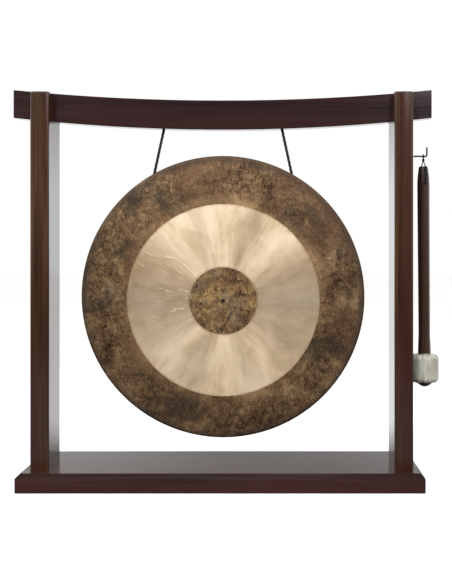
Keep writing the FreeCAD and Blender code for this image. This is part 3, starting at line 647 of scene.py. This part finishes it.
def finish_piece(shape, name, body, material, slot, *nodes):
    """Makes an object of a bmesh, which rides on a body and stands for CAD nodes."""
    bmesh.ops.recalc_face_normals(shape, faces=shape.faces)
    mesh = bpy.data.meshes.new(name)
    shape.to_mesh(mesh)
    shape.free()
    piece = bpy.data.objects.new(name, mesh)
    bpy.context.scene.collection.objects.link(piece)
    mesh.materials.append(material)
    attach(piece, body)
    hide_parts(*nodes)
    return piece


def cord_material(name, dark, light):
    """Twisted nylon: fine filaments with a soft gloss."""
    material, tree, shader = new_material(name, Specular_IOR_Level=0.15)
    place = object_place(tree)
    filament = cloud(tree, stretched(tree, place, (3200, 3200, 700)), 1.0, 3, 0.6)
    patch = cloud(tree, place, 160, 3)
    tone = maths(tree, "MULTIPLY_ADD", filament, 0.6, maths(tree, "MULTIPLY", patch, 0.4))
    colour = ramp(tree, tone, [(0.35, dark), (0.68, light)])
    rough = maths(tree, "MULTIPLY_ADD", filament, 0.3, 0.45)
    normal = bump(tree, filament, 0.0001, 0.6)
    connect(tree, shader, Base_Color=colour, Roughness=rough, Normal=normal)
    return material


def add_gong_cords():
    """Each cord: knotted in the beam, straight down to the rim's hole, and knotted behind it."""
    material = cord_material("nylon_cord", (0.002, 0.003, 0.005), (0.011, 0.013, 0.020))
    for side, way in (("left", -1), ("right", 1)):
        top = Vector((way * CORD_SPREAD, 0, CORD_TOP))
        hole = Vector((way * RIM_HOLE_OUT * math.sin(RIM_HOLE_ANGLE), 0, RIM_HOLE_HEIGHT))

        anchor = bmesh.new()
        knot = Vector((top.x, 0, ANCHOR_KNOT))
        add_cord(anchor, [top + Vector((0, 0, 2.2 * MM)), knot], CORD_RADIUS)
        add_cord(anchor, knot_path(knot, Vector((0, 0, 1)), KNOT_RADIUS, KNOT_TALL), CORD_RADIUS)
        name = f"{side}_cord_anchor"
        finish_piece(anchor, name + "_laid", "stand", material, "gong_cord", name)

        run = bmesh.new()
        along = (hole - top).normalized()
        add_cord(run, [top - 1.6 * MM * along, hole + 0.6 * MM * along], CORD_RADIUS)
        finish_piece(run, f"{side}_cord_laid", "cords", material, "gong_cord", f"{side}_cord")

        tail = bmesh.new()
        turn = GONG_PLACE.to_3x3()
        inward = turn @ Vector((-way * math.sin(RIM_HOLE_ANGLE), 0, -math.cos(RIM_HOLE_ANGLE)))
        knot = hole + 5.65 * MM * inward
        add_cord(tail, knot_path(knot, inward, KNOT_RADIUS, KNOT_TALL), CORD_RADIUS)
        add_cord(tail, [knot, knot + TAIL_LENGTH * inward], CORD_RADIUS)
        name = f"{side}_cord_tail"
        finish_piece(tail, name + "_laid", "gong", material, "gong_cord", name)


# ---------------------------------------------------------------- mallet

CROSS_HOLE = Vector((291.4 * MM, 0, 429.4 * MM))
HOOK_HEIGHT = 470.5 * MM
MALLET_TURN = Matrix.Rotation(math.radians(12), 4, "Z")
MALLET_LEAN = Matrix.Rotation(math.radians(-0.35), 4, "Y")
MALLET_PLACE = Matrix.Translation(CROSS_HOLE) @ MALLET_LEAN @ MALLET_TURN
HEAD_LOW = -286.4 * MM
HEAD_TOP = -247.0 * MM
HEAD_RADIUS = 20.25 * MM
HEAD_ROUND = 6 * MM
STEM_RADIUS = 8.4 * MM
LOOP_RADIUS = 1.15 * MM
LOOP_EYE_RADIUS = 2.35 * MM
LOOP_KNOT_DROP = 6.0 * MM


def add_mallet_loop():
    """A thin cord: an eye round the hook, a knot, and a strand down each side of the handle."""
    shape = bmesh.new()
    turn = Matrix.Translation(CROSS_HOLE) @ MALLET_TURN
    wire = Vector((CROSS_HOLE.x, 0, HOOK_HEIGHT))
    knot = wire - Vector((0, 0, LOOP_KNOT_DROP))
    eye = []
    for n in range(25):
        a = TURN * n / 24 + math.pi
        aside = 0.25 * math.cos(a) * (n / 12 - 1)
        eye.append(wire + LOOP_EYE_RADIUS * Vector((aside, math.sin(a), math.cos(a))))
    add_cord(shape, eye, LOOP_RADIUS * 0.9, 2)
    add_cord(shape, knot_path(knot, Vector((0, 0, 1)), 1.1 * MM, 2.3 * MM), LOOP_RADIUS * 0.85, 2)

    def pressed(share):
        """How thick a strand is: slack above, spread on the handle, thin in the cross hole."""
        on_handle = min(max((share - 0.26) / 0.12, 0), 1)
        in_hole = min(max((share - 0.90) / 0.06, 0), 1)
        return 0.75 + 0.95 * on_handle - 0.8 * in_hole

    for way in (-1, 1):
        route = [(1.0, 36.0), (1.1, 32.2), (8.5, 28.0), (10.6, 4.0), (10.3, 0.8), (7.6, 0.0)]
        path = [turn @ Vector((0, way * y * MM, z * MM)) for y, z in route]
        add_cord(shape, path, LOOP_RADIUS, 2, full=pressed)
    material = cord_material("waxed_cord", (0.003, 0.003, 0.004), (0.013, 0.014, 0.018))
    finish_piece(shape, "mallet_loop_laid", "mallet_loop", material, "loop_cord", "mallet_loop")


def head_profile():
    """Radius and height of the cloth from the stem at the top, over the side, to the knob."""
    points = [(STEM_RADIUS + 0.4 * MM, HEAD_TOP - 0.6 * MM)]
    flat = HEAD_RADIUS - HEAD_ROUND
    points += [(STEM_RADIUS + (flat - STEM_RADIUS) * n / 4, HEAD_TOP) for n in range(1, 5)]
    for n in range(1, 8):
        a = math.radians(90 * n / 7)
        points.append((flat + HEAD_ROUND * math.sin(a), HEAD_TOP - HEAD_ROUND * (1 - math.cos(a))))
    side = HEAD_TOP - HEAD_LOW - 2 * HEAD_ROUND
    points += [(HEAD_RADIUS, HEAD_TOP - HEAD_ROUND - side * n / 14) for n in range(1, 15)]
    for n in range(1, 8):
        a = math.radians(90 * n / 7)
        points.append((flat + HEAD_ROUND * math.cos(a), HEAD_LOW + HEAD_ROUND * (1 - math.sin(a))))
    points += [(flat - (flat - STEM_RADIUS) * n / 5, HEAD_LOW) for n in range(1, 5)]
    return points


def swell(piece, steps, most):
    """Blows a cloth piece up a little, with its first and last rows held."""
    before = [vert.co.copy() for vert in piece.data.vertices]
    cloth = piece.modifiers.new("cloth", "CLOTH")
    cloth.settings.use_pressure = True
    cloth.settings.uniform_pressure_force = 4
    cloth.settings.quality = 5
    cloth.settings.effector_weights.gravity = 0
    cloth.settings.vertex_group_mass = "held"
    scene = bpy.context.scene
    for step in range(1, steps + 1):
        scene.frame_set(step)
    shown = piece.evaluated_get(bpy.context.evaluated_depsgraph_get())
    after = [vert.co.copy() for vert in shown.data.vertices]
    piece.modifiers.remove(cloth)
    scene.frame_set(1)
    for vert, old, new in zip(piece.data.vertices, before, after):
        move = new - old
        if move.length > most:
            move *= most / move.length
        vert.co = old + move


def cloth_material():
    """Cream flannel: a fine weave under a short nap, with greyer streaks drawn out along the head that are
    painted fold shade.
    """
    material, tree, shader = new_material(
        "cream_flannel", Sheen_Weight=0.4, Sheen_Roughness=0.6, Roughness=0.95
    )
    place = object_place(tree)
    # Painted fold shade: noise drawn out along the head darkens the cloth in streaks, standing in for shade
    # in its folds.
    fold_and_fold_shade = cloud(tree, stretched(tree, place, (210, 210, 26)), 1.0, 3, 0.55)
    nap = cloud(tree, place, 1500, 4, 0.7)
    warp = node(tree, "ShaderNodeTexWave", {"Vector": place, "Scale": 420.0, "Distortion": 2.0,
                                            "Detail Scale": 2.0}, bands_direction="Z").outputs[1]
    tone = maths(tree, "MULTIPLY_ADD", nap, 0.35, maths(tree, "MULTIPLY", fold_and_fold_shade, 0.65))
    colour = ramp(tree, tone, [
        (0.36, (0.190, 0.168, 0.115)), (0.50, (0.330, 0.305, 0.220)), (0.64, (0.480, 0.460, 0.350))
    ])
    weave = maths(tree, "MULTIPLY_ADD", nap, 0.7, maths(tree, "MULTIPLY", warp, 0.3))
    connect(tree, shader, Base_Color=colour, Normal=bump(tree, weave, 0.0004, 0.7))
    return material


def add_mallet_head():
    """The head's cloth, gathered into folds where it is tied at the stem and against the knob."""
    columns = 120
    shape = bmesh.new()
    profile = head_profile()
    middle = (HEAD_TOP + HEAD_LOW) / 2
    half = (HEAD_TOP - HEAD_LOW) / 2
    rows = []
    for radius, height in profile:
        gather = min(abs(height - middle) / half, 1) ** 4
        row = []
        for n in range(columns):
            a = TURN * n / columns
            soft = 0.7 * wavy(a, 2.5 + height * 12, 3.2) + 0.5 * wavy(a, 7.1 + height * 25, 6.5)
            pleat = math.sin(15 * a + 3 * wavy(a, 1.3, 1.2)) + 0.5 * math.sin(26 * a + 1.7)
            # The cloth's folds as an offset of its surface.
            fold_and_fold_shade = (0.55 * soft + (0.10 + 0.32 * gather) * pleat) * MM
            size = radius + fold_and_fold_shade * min((radius - STEM_RADIUS) / (5 * MM), 1)
            lift = 0.5 * MM * gather * pleat * (1 if height > middle else -1.5)
            row.append(shape.verts.new((size * math.sin(a), size * math.cos(a), height + lift)))
        rows.append(row)
    for low, high in zip(rows, rows[1:]):
        for n in range(columns):
            after = (n + 1) % columns
            shape.faces.new((low[n], low[after], high[after], high[n])).smooth = True
    shape.transform(MALLET_PLACE)
    shape.verts.index_update()
    held = [vert.index for row in (rows[0], rows[-1]) for vert in row]
    head = finish_piece(shape, "mallet_head_cloth", "mallet", cloth_material(), "cloth", "mallet_cover")
    head.vertex_groups.new(name="held").add(held, 1.0, "REPLACE")
    swell(head, 20, 0.8 * MM)
    wall = head.modifiers.new("wall", "SOLIDIFY")
    wall.thickness = 0.6 * MM
    wall.offset = -1
    finer = head.modifiers.new("finer", "SUBSURF")
    finer.levels = 1
    finer.render_levels = 1


def add_thread():
    """Four turns of thread and their knot, which tie the cloth to the stem."""
    shape = bmesh.new()
    path = []
    for n in range(4 * 28 + 1):
        a = TURN * n / 28
        height = HEAD_TOP + (0.25 + 0.38 * n / 28) * MM
        reach = STEM_RADIUS + 0.45 * MM
        path.append(MALLET_PLACE @ Vector((reach * math.cos(a), reach * math.sin(a), height)))
    add_tube(shape, path, 0.3 * MM, 6)
    knot = MALLET_PLACE @ Vector((STEM_RADIUS + 0.8 * MM, 0, HEAD_TOP + 1.0 * MM))
    add_tube(shape, knot_path(knot, Vector((1, 0, 0)), 0.5 * MM, 0.3 * MM), 0.28 * MM, 6)
    material = cord_material("cream_thread", (0.22, 0.20, 0.15), (0.46, 0.43, 0.34))
    finish_piece(shape, "mallet_thread_wound", "mallet", material, "thread", "mallet_thread")


# ---------------------------------------------------------------- stage and lights

GONG_MIDDLE = Vector((0, 0, 0.264))
LIGHT_REACH = 1.6
COOL_WHITE = (0.90, 1.0, 1.13)


def add_light(name, place, aim, width, height, watts, colour=(1, 1, 1)):
    """A rectangular softbox that faces a point."""
    data = bpy.data.lights.new(name, "AREA")
    data.shape = "RECTANGLE"
    data.size = width
    data.size_y = height
    data.energy = watts
    data.color = colour
    light = bpy.data.objects.new(name, data)
    light.location = place
    toward = Vector(aim) - Vector(place)
    light.rotation_euler = toward.to_track_quat("-Z", "Y").to_euler()
    bpy.context.scene.collection.objects.link(light)


def add_world():
    """White round the picture. As light it is bright behind the gong and dim round the camera."""
    world = bpy.data.worlds.new("studio")
    world.use_nodes = True
    tree = world.node_tree
    background = tree.nodes["Background"]
    aim = node(tree, "ShaderNodeTexCoord").outputs["Generated"]
    parts = node(tree, "ShaderNodeSeparateXYZ", {0: aim})
    depth = parts.outputs["Y"]
    front = ramp(tree, maths(tree, "MULTIPLY_ADD", depth, 0.5, 0.5), [
        (0.00, (0.15, 0.13, 0.115)), (0.05, (0.24, 0.20, 0.17)),
        (0.25, (0.56, 0.46, 0.38)), (0.50, (0.72, 0.62, 0.53)),
    ])
    overhead = smooth(tree, parts.outputs["Z"], 0.25, 0.85)
    front = blend_colour(tree, overhead, front, (0.10, 0.10, 0.10, 1))
    height = maths(tree, "MULTIPLY_ADD", parts.outputs["Z"], 0.5, 0.5)
    back = ramp(tree, height, [(0.53, (0.88, 0.90, 0.91)), (0.60, (0.38,) * 3), (0.68, (0.10,) * 3)])
    aside = smooth(tree, maths(tree, "ABSOLUTE", parts.outputs["X"]), 0.03, 0.22)
    dimmed = blend_colour(tree, 0.34, back, (0, 0, 0, 1))
    back = blend_colour(tree, aside, dimmed, back)
    room = blend_colour(tree, smooth(tree, depth, 0.0, 0.15), front, back)
    seen = node(tree, "ShaderNodeLightPath").outputs["Is Camera Ray"]
    shade = blend_colour(tree, seen, room, (0.51, 0.51, 0.51, 1))
    tree.links.new(shade, background.inputs["Color"])
    background.inputs["Strength"].default_value = 2.0
    bpy.context.scene.world = world


def add_floor():
    """A pale floor that looks near white and still takes a faint shadow."""
    grid = bmesh.new()
    bmesh.ops.create_grid(grid, x_segments=8, y_segments=8, size=12)
    mesh = bpy.data.meshes.new("floor")
    grid.to_mesh(mesh)
    grid.free()
    floor = bpy.data.objects.new("floor", mesh)
    floor.location = (0, 0, -0.0002)
    bpy.context.scene.collection.objects.link(floor)
    material, tree, shader = new_material("floor_paper", Roughness=0.9)
    shader.inputs["Emission Color"].default_value = (1, 1, 1, 1)
    seen = node(tree, "ShaderNodeLightPath").outputs["Is Camera Ray"]
    grain = cloud(tree, object_place(tree), 300.0)
    paper = ramp(tree, grain, [(0.3, (0.78,) * 3), (0.7, (0.82,) * 3)])
    paper = blend_colour(tree, seen, (0.16, 0.16, 0.16, 1), paper)
    back = node(tree, "ShaderNodeSeparateXYZ", {0: object_place(tree)}).outputs["Y"]
    glow = maths(tree, "MULTIPLY", smooth(tree, back, 0.05, 0.5), 1.4)
    glow = node(tree, "ShaderNodeMix", {0: seen, 2: glow, 3: 0.7}).outputs[0]
    connect(tree, shader, Base_Color=paper, Emission_Strength=glow)
    mesh.materials.append(material)


add_camera()
add_world()
add_floor()
bpy.context.scene.view_settings.view_transform = "Standard"
for name, way, width, height, watts in (
    ("box_middle", (-0.05, -0.60, 0.80), 0.86, 0.50, 25.5),
    ("box_right", (0.60, -0.63, 0.49), 1.45, 0.45, 14),
    ("box_left", (-0.64, -0.53, 0.56), 1.60, 0.45, 19.5),
):
    place = GONG_MIDDLE + LIGHT_REACH * Vector(way)
    add_light(name, place, GONG_MIDDLE, width, height, watts, COOL_WHITE)

finishes = {
    "base_board": wood(
        "base_wood", 0, (0.010, 0.003, 0.002), (0.023, 0.007, 0.0045), (0.046, 0.015, 0.009),
        (0.036, 0.009, 0.005), 3.1, 0.10, 0.75
    ),
    "crossbeam": wood(
        "beam_wood", 0, (0.007, 0.002, 0.003), (0.014, 0.0048, 0.0048), (0.027, 0.009, 0.0075),
        (0.020, 0.0055, 0.0050), 7.7, 0.07
    ),
    "mallet_handle": wood(
        "handle_wood", 2, (0.010, 0.004, 0.002), (0.024, 0.010, 0.006), (0.050, 0.021, 0.011),
        (0.034, 0.011, 0.006), 9.4, 0.22
    ),
    "mallet_hook": worn_metal("hook_bronze", (0.020, 0.016, 0.011), (0.10, 0.078, 0.048), 700),
    "post_screws": worn_metal("zinc_long", (0.30, 0.29, 0.26), (0.62, 0.60, 0.54), 500),
    "beam_screws": worn_metal("zinc_short", (0.30, 0.29, 0.26), (0.62, 0.60, 0.54), 500),
    "mallet_core": felt(),
}
for side, seed in (("left", 5.3), ("right", 8.9)):
    finishes[side + "_post"] = wood(
        side + "_post_wood", 2, (0.012, 0.005, 0.002), (0.034, 0.0140, 0.0058),
        (0.068, 0.034, 0.013), (0.036, 0.0080, 0.0050), seed, 0.10
    )
for name, material in finishes.items():
    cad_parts[name].data.materials[0] = material

add_gong()
add_gong_cords()
add_mallet_loop()
add_mallet_head()
add_thread()
